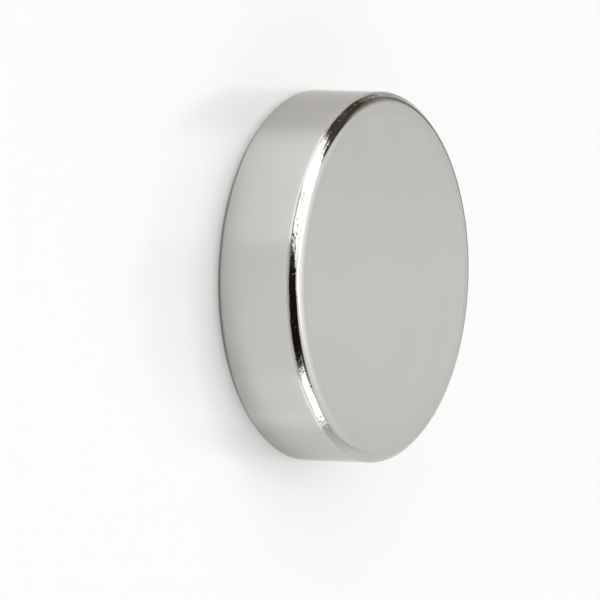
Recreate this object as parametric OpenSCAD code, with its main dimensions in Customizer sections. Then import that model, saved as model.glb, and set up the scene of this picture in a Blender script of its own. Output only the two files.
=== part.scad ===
// Disc magnet, sintered and nickel plated, lying on one pole face.
// One solid of revolution: its axis is Z, and its lower pole face lies on Z = 0.

/* [Disc] */
// Diameter over the rim
disc_d = 20; // [10:0.5:60]
// Thickness from pole face to pole face
disc_t = 5; // [2:0.25:20]

/* [Tumbled edge] */
// Angle of the edge chamfer's outward direction above the rim's
chamfer_angle = 45; // [35:1:55]
// Length of the straight part of the chamfer, along its slope
chamfer_flat = 0.24; // [0.1:0.02:0.6]
// Radius that blends the chamfer into the rim
rim_round = 0.3; // [0.1:0.05:0.6]
// Radius that blends the chamfer into the shoulder
face_round = 0.6; // [0.3:0.05:1]
// Radius of the faint shoulder by which the pole face rolls off
shoulder_round = 8; // [4:0.5:12]
// Slope that the shoulder has reached where it meets the edge
shoulder_slope = 5; // [3:1:10]

/* [Hidden] */
$fn = 128;
// Depth by which tangent curves are let into each other, so that they join in one outline
let_in = 0.00005;

rim_r = disc_d / 2;
half_t = disc_t / 2;

// Outward directions in the section, at the shoulder's outer end, midway round the blend and at the chamfer
function outward(angle) = [cos(angle), sin(angle)];
blend_angle = 90 - shoulder_slope;
shoulder_out = outward(blend_angle);
blend_out = outward((blend_angle + chamfer_angle) / 2);
chamfer_out = outward(chamfer_angle);
// Direction down the chamfer, from the blend to the rim
chamfer_down = outward(chamfer_angle - 90);

// Reach of the whole edge inwards from the rim, which leaves the flat pole face
edge_reach = shoulder_round * shoulder_out[0]
    + face_round * (chamfer_out[0] - shoulder_out[0])
    + chamfer_flat * chamfer_down[0]
    + rim_round * (1 - chamfer_out[0]);
face_r = rim_r - edge_reach;

// Curves that follow one another share a tangent, so each centre is worked out from the one before it
shoulder_centre = [face_r, half_t - shoulder_round];
blend_centre = shoulder_centre + (shoulder_round - face_round + let_in) * shoulder_out;
chamfer_top = blend_centre + (face_round - let_in) * chamfer_out;
chamfer_foot = chamfer_top + chamfer_flat * chamfer_down;
rim_centre = [rim_r - rim_round, chamfer_foot[1] - rim_round * chamfer_out[1]];

// Slice of the shoulder's circle, from straight up to the shoulder's outer end
module shoulder_slice() {
    reach = 2 * shoulder_round;
    intersection() {
        translate(shoulder_centre) circle(shoulder_round);
        translate(shoulder_centre) polygon([[0, 0], reach * shoulder_out, [0, reach]]);
        square([rim_r, disc_t]);
    }
}

// Section above the mid-plane: a straight-sided core, rounded by the three curves of its edge
module half_section() {
    polygon([
        [0, 0],
        [rim_r, 0],
        [rim_r, rim_centre[1]],
        chamfer_foot,
        chamfer_top,
        blend_centre + face_round / 2 * blend_out,
        [face_r, half_t],
        [0, half_t]
    ]);
    shoulder_slice();
    translate(blend_centre) circle(face_round);
    translate(rim_centre) circle(rim_round);
}

// The disc, with both of its edges alike
module disc_magnet() {
    color("#c4c3bf")
        translate([0, 0, half_t])
            rotate_extrude() {
                half_section();
                mirror([0, 1]) half_section();
            }
}

disc_magnet();
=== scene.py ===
# Disc magnet: a sintered disc with bright nickel plate, lying on one pole face in a pale light tent.
import bpy
from math import cos, pi, radians, sin, tan
from mathutils import Matrix, Vector


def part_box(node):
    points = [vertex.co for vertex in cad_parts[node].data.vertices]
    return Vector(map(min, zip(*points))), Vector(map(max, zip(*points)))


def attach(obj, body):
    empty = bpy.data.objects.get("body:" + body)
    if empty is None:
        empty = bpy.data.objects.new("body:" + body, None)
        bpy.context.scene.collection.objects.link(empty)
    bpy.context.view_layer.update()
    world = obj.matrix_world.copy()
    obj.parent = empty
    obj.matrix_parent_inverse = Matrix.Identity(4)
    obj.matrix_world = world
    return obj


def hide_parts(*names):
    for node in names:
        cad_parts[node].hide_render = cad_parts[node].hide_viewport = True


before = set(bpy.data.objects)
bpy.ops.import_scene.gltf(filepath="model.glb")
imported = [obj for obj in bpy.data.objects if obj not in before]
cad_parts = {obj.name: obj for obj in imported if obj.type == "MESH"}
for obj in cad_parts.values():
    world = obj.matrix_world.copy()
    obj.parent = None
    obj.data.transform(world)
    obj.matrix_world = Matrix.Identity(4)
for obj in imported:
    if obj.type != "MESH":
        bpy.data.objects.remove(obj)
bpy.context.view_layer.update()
mm = 0.001
print("frame loaded:", sorted(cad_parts))


def linearColor(hexCode, level=1.0):
    # sRGB hex to linear RGBA; level scales a light's colour
    parts = [int(hexCode[i:i + 2], 16) / 255 for i in (1, 3, 5)]
    linear = [p / 12.92 if p <= 0.04045 else ((p + 0.055) / 1.055) ** 2.4 for p in parts]
    return [level * p for p in linear] + [1.0]


def addNode(tree, kind, inputs=None, **settings):
    # inputs maps a socket's name or number to a value, or to the socket that feeds it
    node = tree.nodes.new(kind)
    for name, value in settings.items():
        setattr(node, name, value)
    for socket, value in (inputs or {}).items():
        if isinstance(value, bpy.types.NodeSocket):
            tree.links.new(value, node.inputs[socket])
        else:
            node.inputs[socket].default_value = value
    return node


def newMaterial(name):
    material = bpy.data.materials.new(name)
    material.use_nodes = True
    material.node_tree.nodes.clear()
    return material, material.node_tree


def flatSheet(name, halfWidth, below, above):
    # a rectangle in its own XY plane, for floor and card
    corners = [(-halfWidth, -below, 0), (halfWidth, -below, 0), (halfWidth, above, 0), (-halfWidth, above, 0)]
    mesh = bpy.data.meshes.new(name)
    mesh.from_pydata(corners, [], [(0, 1, 2, 3)])
    sheet = bpy.data.objects.new(name, mesh)
    bpy.context.scene.collection.objects.link(sheet)
    return sheet


def standAt(place, xAxis, yAxis, zAxis):
    return Matrix.Translation(place) @ Matrix((xAxis, yAxis, zAxis)).transposed().to_4x4()


# Nickel plate, sizes in mm
nickel = {
    "bright": "#CDCCC8",       # clear plating
    "milky": "#C8C7C2",        # slightly duller clouds in it
    "grazing": "#EAE9E6",      # nickel mirrors less at a grazing view than most metals
    "cloudSize": 3.0,
    "cloudRange": (0.35, 0.7),    # noise between which the plating turns from clear to milky
    "smooth": 0.03,            # roughness of the clear plating
    "hazy": 0.055,             # and where it is milky
    "knocked": 0.03,           # roughness that the tumbled edge adds
    "peelSize": 0.7,           # orange peel, drawn a little coarser than the real one so that it shows
    "peelDepth": 0.0003,
    "gritSize": 0.13,          # fine knocks along the edge
    "gritDepth": 0.0028,
}


def nickelPlate():
    # Bright nickel from a plating bath over a ground and tumbled disc. The eye sees a warm-white mirror,
    # with a faint peel on the flats and satin knocks along the edges.
    material, tree = newMaterial("BrightNickelPlate")
    place = addNode(tree, "ShaderNodeTexCoord").outputs["Object"]
    inMm = addNode(tree, "ShaderNodeMapping", {"Vector": place, "Scale": (1 / mm,) * 3}).outputs[0]
    tumbled = addNode(tree, "ShaderNodeAttribute", attribute_name="tumbled").outputs["Fac"]

    clouds = addNode(tree, "ShaderNodeTexNoise",
                     {"Vector": inMm, "Scale": 1 / nickel["cloudSize"], "Detail": 3.0}).outputs["Fac"]
    color = addNode(tree, "ShaderNodeMix",
                    {0: clouds, 6: linearColor(nickel["bright"]), 7: linearColor(nickel["milky"])},
                    data_type="RGBA").outputs[2]
    clear, milky = nickel["cloudRange"]
    haze = addNode(tree, "ShaderNodeMapRange",
                   {0: clouds, 1: clear, 2: milky, 3: nickel["smooth"], 4: nickel["hazy"]}).outputs[0]
    roughness = addNode(tree, "ShaderNodeMath", {0: tumbled, 1: nickel["knocked"], 2: haze},
                        operation="MULTIPLY_ADD").outputs[0]

    peel = addNode(tree, "ShaderNodeTexNoise",
                   {"Vector": inMm, "Scale": 1 / nickel["peelSize"], "Detail": 1.0}).outputs["Fac"]
    peelBump = addNode(tree, "ShaderNodeBump",
                       {"Height": peel, "Distance": nickel["peelDepth"] * mm}).outputs[0]
    grit = addNode(tree, "ShaderNodeTexNoise",
                   {"Vector": inMm, "Scale": 1 / nickel["gritSize"], "Detail": 2.0}).outputs["Fac"]
    gritBump = addNode(tree, "ShaderNodeBump",
                       {"Height": grit, "Strength": tumbled, "Distance": nickel["gritDepth"] * mm,
                        "Normal": peelBump}).outputs[0]

    shader = addNode(tree, "ShaderNodeBsdfPrincipled",
                     {"Base Color": color, "Metallic": 1.0, "Roughness": roughness, "Normal": gritBump,
                      "Specular Tint": linearColor(nickel["grazing"])})
    addNode(tree, "ShaderNodeOutputMaterial", {"Surface": shader.outputs[0]})
    return material


# The disc, sizes in mm and degrees: a section with rounded corners, turned round its axis
disc = {
    "chamferAngle": 45,        # outward direction of the chamfer, above the rim's
    "chamferFlat": 0.24,       # straight part of the chamfer
    "rimRound": 0.3,           # between rim and chamfer
    "faceRound": 0.6,          # between chamfer and shoulder
    "shoulderRound": 8.0,      # between shoulder and face
    "shoulderSlope": 5,
    "faceRings": (3.0, 6.0, 8.0, 8.6),    # radii of the mesh's rings on the flat face
    "flatSteps": 6,            # rows of faces on the chamfer's flat
    "shoulderSteps": 14,       # points on each arc
    "blendSteps": 9,
    "rimSteps": 9,
    "stepsAround": 1080,
    "mergeDistance": 0.001,    # joins the section's ends on the axis
    "pitSpacing": 0.2,
    "pitShare": 0.42,          # radius of a pit as a share of their spacing
    "pitDepth": 0.016,
    "gritSize": 0.3,
    "gritDepth": 0.008,
    "seed": 7,
}


def discSection(radius, thickness):
    # corners of the section as (distance from axis, height, rounding, points on its arc), axis to axis
    half = thickness / 2
    slope = radians(disc["shoulderSlope"])
    fall = radians(90 - disc["chamferAngle"])
    # each rounding takes this length from the two runs that it joins
    shoulderCut = disc["shoulderRound"] * tan(slope / 2)
    blendCut = disc["faceRound"] * tan((fall - slope) / 2)
    rimCut = disc["rimRound"] * tan((pi / 2 - fall) / 2)
    shoulderRun = shoulderCut + blendCut
    chamferRun = blendCut + disc["chamferFlat"] + rimCut
    rimCorner = Vector((radius, half - shoulderRun * sin(slope) - chamferRun * sin(fall)))
    blendCorner = rimCorner + chamferRun * Vector((-cos(fall), sin(fall)))
    shoulderCorner = blendCorner + shoulderRun * Vector((-cos(slope), sin(slope)))

    upper = [(ring, half, 0, 0) for ring in (0.0, *disc["faceRings"])]
    upper.append((*shoulderCorner, disc["shoulderRound"], disc["shoulderSteps"]))
    upper.append((*blendCorner, disc["faceRound"], disc["blendSteps"]))
    for step in range(1, disc["flatSteps"]):
        along = blendCut + disc["chamferFlat"] * step / disc["flatSteps"]
        upper.append((*blendCorner.lerp(rimCorner, along / chamferRun), 0, 0))
    upper.append((*rimCorner, disc["rimRound"], disc["rimSteps"]))
    upper.append((radius, rimCorner[1] / 2, 0, 0))
    lower = [(out, -height, rounding, points) for out, height, rounding, points in reversed(upper)]
    return upper + [(radius, 0, 0, 0)] + lower


def turningTree():
    tree = bpy.data.node_groups.new("DiscTurning", "GeometryNodeTree")
    sockets = {"Section": "Geometry", "Rim Radius": "Float", "Steps Around": "Int", "Pit Spacing": "Float",
               "Pit Share": "Float", "Pit Depth": "Float", "Grit Size": "Float", "Grit Depth": "Float",
               "Seed": "Int", "Plating": "Material"}
    for name, kind in sockets.items():
        tree.interface.new_socket(name, in_out="INPUT", socket_type="NodeSocket" + kind)
    tree.interface.new_socket("Disc", in_out="OUTPUT", socket_type="NodeSocketGeometry")
    given = addNode(tree, "NodeGroupInput").outputs

    # round the section's corners and turn it round the axis
    rounding = addNode(tree, "GeometryNodeInputNamedAttribute", {"Name": "rounding"}, data_type="FLOAT")
    arcPoints = addNode(tree, "GeometryNodeInputNamedAttribute", {"Name": "arcPoints"}, data_type="INT")
    corners = addNode(tree, "GeometryNodeMeshToCurve", {0: given["Section"]})
    section = addNode(tree, "GeometryNodeFilletCurve",
                      {0: corners.outputs[0], "Count": arcPoints.outputs[0], "Radius": rounding.outputs[0],
                       "Limit Radius": False}, mode="POLY")
    circle = addNode(tree, "GeometryNodeCurvePrimitiveCircle",
                     {"Resolution": given["Steps Around"], "Radius": given["Rim Radius"]})
    path = addNode(tree, "GeometryNodeSetCurveNormal", {0: circle.outputs[0]}, mode="Z_UP")
    turned = addNode(tree, "GeometryNodeCurveToMesh", {0: path.outputs[0], 1: section.outputs[0]})
    closed = addNode(tree, "GeometryNodeMergeByDistance",
                     {0: turned.outputs[0], "Distance": disc["mergeDistance"] * mm})

    # the tumbler knocked the slopes between face and rim most: 0 on both flats, and 1 at 45 degrees,
    # where the product of the two squares is a quarter
    place = addNode(tree, "GeometryNodeInputPosition").outputs[0]
    normal = addNode(tree, "GeometryNodeInputNormal").outputs[0]
    upright = addNode(tree, "ShaderNodeSeparateXYZ", {0: normal}).outputs["Z"]
    square = addNode(tree, "ShaderNodeMath", {0: upright, 1: upright}, operation="MULTIPLY").outputs[0]
    rest = addNode(tree, "ShaderNodeMath", {0: 1.0, 1: square}, operation="SUBTRACT").outputs[0]
    slope = addNode(tree, "ShaderNodeMath", {0: square, 1: rest}, operation="MULTIPLY").outputs[0]
    tumbled = addNode(tree, "ShaderNodeMath", {0: slope, 1: 4.0}, operation="MULTIPLY")
    marked = addNode(tree, "GeometryNodeStoreNamedAttribute",
                     {0: closed.outputs[0], "Name": "tumbled", "Value": tumbled.outputs[0]},
                     data_type="FLOAT", domain="POINT")

    # knock pits and grit into that edge, always inwards
    pitScale = addNode(tree, "ShaderNodeMath", {0: 1.0, 1: given["Pit Spacing"]}, operation="DIVIDE")
    pits = addNode(tree, "ShaderNodeTexVoronoi",
                   {"Vector": place, "W": given["Seed"], "Scale": pitScale.outputs[0]},
                   voronoi_dimensions="4D")
    pit = addNode(tree, "ShaderNodeMapRange", {0: pits.outputs["Distance"], 1: given["Pit Share"], 2: 0.0},
                  interpolation_type="SMOOTHSTEP")
    gritScale = addNode(tree, "ShaderNodeMath", {0: 1.0, 1: given["Grit Size"]}, operation="DIVIDE")
    grit = addNode(tree, "ShaderNodeTexNoise",
                   {"Vector": place, "W": given["Seed"], "Scale": gritScale.outputs[0], "Detail": 1.0},
                   noise_dimensions="4D")
    pitDeep = addNode(tree, "ShaderNodeMath", {0: pit.outputs[0], 1: given["Pit Depth"]},
                      operation="MULTIPLY")
    deep = addNode(tree, "ShaderNodeMath",
                   {0: grit.outputs["Fac"], 1: given["Grit Depth"], 2: pitDeep.outputs[0]},
                   operation="MULTIPLY_ADD")
    inwards = addNode(tree, "ShaderNodeMath", {0: deep.outputs[0], 1: -1.0}, operation="MULTIPLY")
    worn = addNode(tree, "ShaderNodeMath", {0: inwards.outputs[0], 1: tumbled.outputs[0]},
                   operation="MULTIPLY")
    push = addNode(tree, "ShaderNodeVectorMath", {0: normal, "Scale": worn.outputs[0]}, operation="SCALE")
    knocked = addNode(tree, "GeometryNodeSetPosition", {0: marked.outputs[0], "Offset": push.outputs[0]})
    smooth = addNode(tree, "GeometryNodeSetShadeSmooth", {0: knocked.outputs[0]})
    loose = addNode(tree, "GeometryNodeRealizeInstances", {0: smooth.outputs[0]})
    plated = addNode(tree, "GeometryNodeSetMaterial", {0: loose.outputs[0], "Material": given["Plating"]})
    addNode(tree, "NodeGroupOutput", {0: plated.outputs[0]})
    return tree


def makeDisc():
    low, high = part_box("disc_magnet")
    radius = (high[0] - low[0]) / 2
    thickness = high[2] - low[2]
    corners = discSection(radius / mm, thickness / mm)
    mesh = bpy.data.meshes.new("discSection")
    # the sweep takes X as the way out from the axis and -Y as the way up
    points = [(c[0] * mm - radius, -c[1] * mm - thickness / 2, 0) for c in corners]
    mesh.from_pydata(points, [(i, i + 1) for i in range(len(points) - 1)], [])
    mesh.attributes.new("rounding", "FLOAT", "POINT").data.foreach_set("value", [c[2] * mm for c in corners])
    mesh.attributes.new("arcPoints", "INT", "POINT").data.foreach_set("value", [c[3] for c in corners])
    body = bpy.data.objects.new("plated_disc", mesh)
    bpy.context.scene.collection.objects.link(body)

    tree = turningTree()
    turning = body.modifiers.new("Turning", "NODES")
    turning.node_group = tree
    values = {"Rim Radius": radius, "Steps Around": disc["stepsAround"],
              "Pit Spacing": disc["pitSpacing"] * mm, "Pit Share": disc["pitShare"],
              "Pit Depth": disc["pitDepth"] * mm,
              "Grit Size": disc["gritSize"] * mm, "Grit Depth": disc["gritDepth"] * mm,
              "Seed": disc["seed"], "Plating": nickelPlate()}
    for item in tree.interface.items_tree:
        if item.name in values:
            turning[item.identifier] = values[item.name]
    seen = body.evaluated_get(bpy.context.evaluated_depsgraph_get())
    body.data = bpy.data.meshes.new_from_object(seen)
    body.modifiers.remove(turning)
    print("disc turned:", len(body.data.vertices), "points,", len(body.data.polygons), "faces")
    return body


body = makeDisc()
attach(body, "root")
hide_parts("disc_magnet")


# The camera, in mm and degrees: a long lens at the photograph's angle.
# The picture is turned so that the disc's axis points right.
shot = {
    "azimuth": 14,             # round the disc from -Y towards +X; tent and card turn with it
    "elevation": 29.05,
    "roll": 1.92,              # by which the axis dips to the right
    "distance": 1000,
    "frameWidth": 32.33,       # across the picture at the disc
    "framePixels": 600,
    "discPixel": (344.31, 276.03),    # the disc's middle in the picture, from its top left
    "sensor": 36,
}


def cameraAxes():
    # the way to the camera, and the disc's axis as the picture shows it
    turn = radians(shot["azimuth"])
    rise = radians(shot["elevation"])
    back = Vector((sin(turn) * cos(rise), -cos(turn) * cos(rise), sin(rise)))
    along = Vector((-sin(turn) * sin(rise), cos(turn) * sin(rise), cos(rise)))
    return back, along


def placeCamera():
    back, along = cameraAxes()
    roll = radians(shot["roll"])
    right = cos(roll) * along + sin(roll) * back.cross(along)
    up = back.cross(right)
    pixel = shot["frameWidth"] * mm / shot["framePixels"]
    middle = shot["framePixels"] / 2
    column, row = shot["discPixel"]
    low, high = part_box("disc_magnet")
    aim = (low + high) / 2 - (column - middle) * pixel * right - (middle - row) * pixel * up
    lens = bpy.data.cameras.new("longLens")
    lens.sensor_width = shot["sensor"]
    lens.lens = shot["sensor"] * shot["distance"] / shot["frameWidth"]
    camera = bpy.data.objects.new("camera", lens)
    bpy.context.scene.collection.objects.link(camera)
    camera.matrix_world = standAt(aim + shot["distance"] * mm * back, right, up, back)
    bpy.context.scene.camera = camera
    print("camera placed")


placeCamera()

# The light tent, angles in degrees. Azimuth 0 is the camera's side, and it counts anticlockwise from above,
# so that 90 is on the right of an upright camera. Each patch is drawn over the ones before it.
tent = {
    "wall": ("#FFFFFF", 0.75),
    "patches": [
        # name, azimuths, elevations, blur of each, colour, brightness
        ("far wall", (135, 225), (-20, 65), (15, 5), "#FFFFFF", 0.93),
        ("far wall's foot", (135, 225), (-20, 33), (15, 3), "#FFFFFF", 0.87),
        ("far wall's left", (182, 225), (-20, 65), (2, 5), "#FFFFFF", 0.83),
        ("right corner", (104, 150), (22, 32), (20, 9), "#FFFFFF", 0.58),
        ("right roof", (138, 186), (48, 200), (12, 8), "#FFFFFF", 1.05),
        ("left roof", (-186, -8), (49, 76), (6, 4), "#FFFFFF", 4.8),
        ("far lamp", (174.5, 186.5), (36, 65), (5, 4.5), "#FFFFFF", 1.45),
        ("far left", (-182, -150), (-20, 14), (5, 5), "#E8E0D0", 0.3),
        ("brown corner", (-158, -118), (4, 53), (16, 4), "#E8E0D0", 0.3),
        ("dark corner", (-140, -118), (13, 53), (6, 3), "#70655C", 0.42),
        ("dark corner's right", (-120, -103), (22, 53), (4, 3), "#70655C", 0.42),
        ("dark roof corner", (-158, -128), (39, 55), (6, 3), "#70655C", 0.42),
        ("low left", (-138, -122), (-25, 9), (8, 4), "#FFFFFF", 0.68),
        ("low left's right", (-124, -90), (-25, 16), (5, 5), "#FFFFFF", 0.68),
        ("left skirt", (-92, -20), (-25, 32), (3, 6), "#FFFFFF", 1.4),
        ("left wing", (-122, -95), (47, 95), (3, 3), "#FFFFFF", 1.8),
        ("left softbox", (-101, -17), (34, 95), (2.5, 3), "#FFFFFF", 1.8),
        ("left top", (-186, -14), (74, 200), (6, 2), "#FFFFFF", 1.5),
        ("left frame", (-60, -12), (32, 51), (8, 5), "#FFFFFF", 0.45),
        ("dark wedge", (-34, -10), (50, 60), (6, 3.5), "#806858", 0.06),
        ("low front", (-14, 64), (22, 56), (3, 8), "#FFFFFF", 0.56),
        ("right skirt", (64, 103), (-25, 28), (3, 4), "#FFFFFF", 1.35),
        ("right frame", (62, 122), (29, 60), (3, 4), "#FFFFFF", 0.45),
        ("right panel", (76, 118), (35, 53), (2.5, 3), "#FFFFFF", 1.75),
        ("right panel's foot", (96, 111), (30, 45), (2.5, 3), "#FFFFFF", 1.75),
        ("grey above", (60, 122), (57.5, 200), (14, 3), "#FFFFFF", 0.1),
        ("dark front", (-22, 70), (52, 66), (3, 6), "#806858", 0.06),
        ("dark side", (34, 72), (44, 66), (6, 4), "#806858", 0.06),
        ("dark above", (-14, 100), (60, 200), (4, 3), "#806858", 0.06),
        ("top", (-200, 200), (84, 200), (1, 1.5), "#FFFFFF", 1.0),
    ],
}


def lightTent():
    world = bpy.data.worlds.new("LightTent")
    world.use_nodes = True
    bpy.context.scene.world = world
    tree = world.node_tree
    tree.nodes.clear()
    ray = addNode(tree, "ShaderNodeTexCoord").outputs["Generated"]
    part = addNode(tree, "ShaderNodeSeparateXYZ", {0: ray}).outputs
    front = addNode(tree, "ShaderNodeMath", {0: part["Y"], 1: -1.0}, operation="MULTIPLY").outputs[0]
    fromFront = addNode(tree, "ShaderNodeMath", {0: part["X"], 1: front}, operation="ARCTAN2").outputs[0]
    around = addNode(tree, "ShaderNodeMath", {0: fromFront, 1: radians(shot["azimuth"])},
                     operation="SUBTRACT").outputs[0]
    up = addNode(tree, "ShaderNodeMath", {0: part["Z"]}, operation="ARCSINE").outputs[0]
    glow = linearColor(*tent["wall"])
    for name, azimuths, elevations, blurs, color, level in tent["patches"]:
        cover = 1.0
        for angle, (first, last), blur in zip((around, up), (azimuths, elevations), blurs):
            off = addNode(tree, "ShaderNodeMath", {0: angle, 1: radians((first + last) / 2)},
                          operation="SUBTRACT").outputs[0]
            wrapped = addNode(tree, "ShaderNodeMath", {0: off, 1: pi, 2: -pi}, operation="WRAP").outputs[0]
            away = addNode(tree, "ShaderNodeMath", {0: wrapped}, operation="ABSOLUTE").outputs[0]
            half = (last - first) / 2
            inside = addNode(tree, "ShaderNodeMapRange",
                             {0: away, 1: radians(half + blur), 2: radians(half - blur)},
                             interpolation_type="SMOOTHSTEP").outputs[0]
            cover = addNode(tree, "ShaderNodeMath", {0: inside, 1: cover}, operation="MULTIPLY").outputs[0]
        glow = addNode(tree, "ShaderNodeMix", {0: cover, 6: glow, 7: linearColor(color, level)},
                       data_type="RGBA", label=name).outputs[2]
    light = addNode(tree, "ShaderNodeBackground", {"Color": glow})
    addNode(tree, "ShaderNodeOutputWorld", {"Surface": light.outputs[0]})
    print("light tent:", len(tent["patches"]), "patches")


lightTent()

# The floor: a white board under clear lacquer, with painted white light that lightens its shadow away from
# the disc
floor = {
    "side": 6.0,               # m
    "color": "#FEFDFD",
    "roughness": 0.2,
    "lacquer": 1.0,
    "lacquerRoughness": 0.15,
    "ior": 1.6,                # of board and lacquer
    "glow": 0.36,              # share of painted white light, which lightens the shadow as in the photograph
    "cameraPaintedLightFrom": (9.2, 9.5),    # mm from the disc's axis over which that painted white sets in for the camera
    "mirrorPaintedLightFrom": (14, 30),  # and for the metal, which so mirrors a floor left darker near the disc: painted shade that keeps the gap under the edge dark in it
}


def layFloor():
    half = floor["side"] / 2
    board = flatSheet("floor", half, half, half)
    # A board sprayed white and lacquered. The eye sees pale ground, with a soft shadow that painted white
    # light lightens away from the disc, and a faint mirror image of the disc in it.
    material, tree = newMaterial("LacqueredBoardWithPaintedLight")
    shader = addNode(tree, "ShaderNodeBsdfPrincipled",
                     {"Base Color": linearColor(floor["color"]), "Roughness": floor["roughness"],
                      "Coat Weight": floor["lacquer"], "Coat Roughness": floor["lacquerRoughness"],
                      "IOR": floor["ior"], "Coat IOR": floor["ior"]})
    # painted light: only camera, metal and glass see this white, which lightens the floor away from the disc,
    # so no lamp has to be brighter for it
    path = addNode(tree, "ShaderNodeLightPath").outputs
    place = addNode(tree, "ShaderNodeTexCoord").outputs["Object"]
    away = addNode(tree, "ShaderNodeVectorMath", {0: place}, operation="LENGTH").outputs["Value"]
    mirrored = addNode(tree, "ShaderNodeMath", {0: path["Is Glossy Ray"], 1: path["Is Transmission Ray"]},
                       operation="MAXIMUM").outputs[0]
    # the painted white fades in with distance from the disc's axis, so a darker ring of painted shade stays
    # round the disc, wider for metal and glass than for the camera
    paintedLightShare = 0.0
    sights = ((path["Is Camera Ray"], floor["cameraPaintedLightFrom"]), (mirrored, floor["mirrorPaintedLightFrom"]))
    for ray, (begin, full) in sights:
        paintedLightRamp = addNode(tree, "ShaderNodeMapRange",
                          {0: away, 1: begin * mm, 2: full * mm, 4: floor["glow"]},
                          interpolation_type="SMOOTHSTEP").outputs[0]
        paintedLightShare = addNode(tree, "ShaderNodeMath", {0: ray, 1: paintedLightRamp, 2: paintedLightShare},
                        operation="MULTIPLY_ADD").outputs[0]
    white = addNode(tree, "ShaderNodeEmission", {"Strength": 1.0})
    mixed = addNode(tree, "ShaderNodeMixShader", {0: paintedLightShare, 1: shader.outputs[0], 2: white.outputs[0]})
    addNode(tree, "ShaderNodeOutputMaterial", {"Surface": mixed.outputs[0]})
    board.data.materials.append(material)
    print("floor laid")


layFloor()

# A soft card on the far side, sizes in mm, which brightens the middle of the upper face
card = {
    "distance": 80,
    "halfWidth": 12,           # over which it fades out on both sides
    "below": 14,
    "above": 8,
    "fade": 4,                 # soft border below and above
    "middle": 1.5,             # brightest line, from the disc's axis towards the tent's azimuth 90
    "color": "#FFFFFF",
    "level": 0.93,
}


def hangCard():
    back, along = cameraAxes()
    far = Vector((-back.x, -back.y, back.z))      # where the camera sees to in the upper face
    wide = along.cross(back)
    tall = wide.cross(far)
    top = Vector((0, 0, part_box("disc_magnet")[1][2]))
    place = top + (card["middle"] * wide + card["distance"] * far) * mm
    sheet = flatSheet("card", card["halfWidth"] * mm, card["below"] * mm, card["above"] * mm)
    sheet.matrix_world = standAt(place, wide, tall, -far)
    sheet.visible_camera = False
    sheet.visible_diffuse = False
    sheet.visible_shadow = False

    # A lit card with soft borders. The eye sees it only as a paler middle in the mirroring face.
    material, tree = newMaterial("SoftCard")
    spot = addNode(tree, "ShaderNodeTexCoord").outputs["Object"]
    inMm = addNode(tree, "ShaderNodeMapping", {"Vector": spot, "Scale": (1 / mm,) * 3}).outputs[0]
    part = addNode(tree, "ShaderNodeSeparateXYZ", {0: inMm}).outputs
    away = addNode(tree, "ShaderNodeMath", {0: part["X"]}, operation="ABSOLUTE").outputs[0]
    cover = 1.0
    for value, border, inner in ((away, card["halfWidth"], 0),
                                 (part["Y"], card["above"], card["above"] - card["fade"]),
                                 (part["Y"], -card["below"], card["fade"] - card["below"])):
        inside = addNode(tree, "ShaderNodeMapRange", {0: value, 1: border, 2: inner},
                         interpolation_type="SMOOTHSTEP").outputs[0]
        cover = addNode(tree, "ShaderNodeMath", {0: inside, 1: cover}, operation="MULTIPLY").outputs[0]
    clear = addNode(tree, "ShaderNodeBsdfTransparent")
    light = addNode(tree, "ShaderNodeEmission",
                    {"Color": linearColor(card["color"]), "Strength": card["level"]})
    mixed = addNode(tree, "ShaderNodeMixShader", {0: cover, 1: clear.outputs[0], 2: light.outputs[0]})
    addNode(tree, "ShaderNodeOutputMaterial", {"Surface": mixed.outputs[0]})
    sheet.data.materials.append(material)
    print("card hung")


hangCard()
bpy.context.scene.view_settings.view_transform = "Standard"
